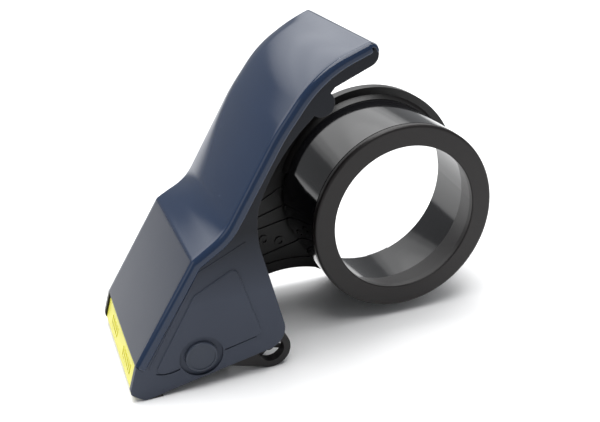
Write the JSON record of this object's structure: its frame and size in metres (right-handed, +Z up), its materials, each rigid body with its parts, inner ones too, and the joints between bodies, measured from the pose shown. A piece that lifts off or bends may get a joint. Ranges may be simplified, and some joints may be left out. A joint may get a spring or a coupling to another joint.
{
  "type": "packing tape dispenser",
  "caption": "Hand-held packing tape dispenser with a curved handle, open-sided tape drum, applicator roller, guide lever and guarded cutting blade.",
  "frame": {"origin": "on the table under the middle of the resting dispenser", "axes": "+X from the cutting nose to the tape hub, +Y from the hub's open side to its back plate, +Z up"},
  "size_m": [0.1568, 0.0624, 0.1175],
  "materials": {
    "navy_gloss": "glossy deep navy moulded plastic",
    "charcoal_matte": "fine-textured matte charcoal moulded plastic",
    "black_gloss": "glossy black moulded plastic",
    "ring_matte": "matte dark grey-brown moulded plastic",
    "lever_matte": "matte black moulded plastic",
    "roller_rubber": "soft dark rubber",
    "pad_rubber": "soft black rubber",
    "guard_yellow": "satin bright yellow moulded plastic",
    "axle_steel": "ground steel rod",
    "screw_steel": "zinc-plated steel",
    "blade_steel": "bright stamped steel strip"
  },
  "bodies": {
    "root": {"top_cover": "navy_gloss", "near_side_panel": "charcoal_matte", "far_side_frame": "charcoal_matte", "handle_liner": "charcoal_matte", "tie_bars": "charcoal_matte", "frame_screws": "screw_steel", "roller_axle": "axle_steel", "near_axle_cap": "charcoal_matte", "far_axle_cap": "charcoal_matte", "flap_rod": "axle_steel", "blade_holder": "black_gloss", "cutting_blade": "blade_steel", "blade_screws": "screw_steel", "guard_hinge_rod": "axle_steel", "nose_pad": "pad_rubber"},
    "drum": {"tape_drum": "black_gloss", "drum_end_ring": "ring_matte"},
    "roller": {"applicator_roller": "roller_rubber", "roller_core": "ring_matte"},
    "lever": {"guide_lever": "lever_matte", "guide_rod": "axle_steel"},
    "flap": {"tape_flap": "lever_matte"},
    "guard": {"blade_guard": "guard_yellow"}
  },
  "joints": [
    {"name": "drum_spin", "type": "hinge", "parent": "root", "child": "drum", "pos_m": [0.036, 0.0085, 0.0424], "axis": [0, 1, 0], "continuous": true},
    {"name": "roller_spin", "type": "hinge", "parent": "root", "child": "roller", "pos_m": [-0.05245, 0, 0.01336], "axis": [0, 1, 0], "continuous": true},
    {"name": "lever_swing", "type": "hinge", "parent": "root", "child": "lever", "pos_m": [-0.05245, 0, 0.01336], "axis": [0, -1, 0], "range_deg": [0, 12], "stiffness_Nm_per_rad": 0.03, "springref_deg": -20.05},
    {"name": "flap_swing", "type": "hinge", "parent": "root", "child": "flap", "pos_m": [-0.06418, 0, 0.02063], "axis": [0, 1, 0], "range_deg": [-4, 25]},
    {"name": "guard_flip", "type": "hinge", "parent": "root", "child": "guard", "pos_m": [-0.07443, 0, 0.01069], "axis": [0, 1, 0], "range_deg": [0, 80]}
  ]
}
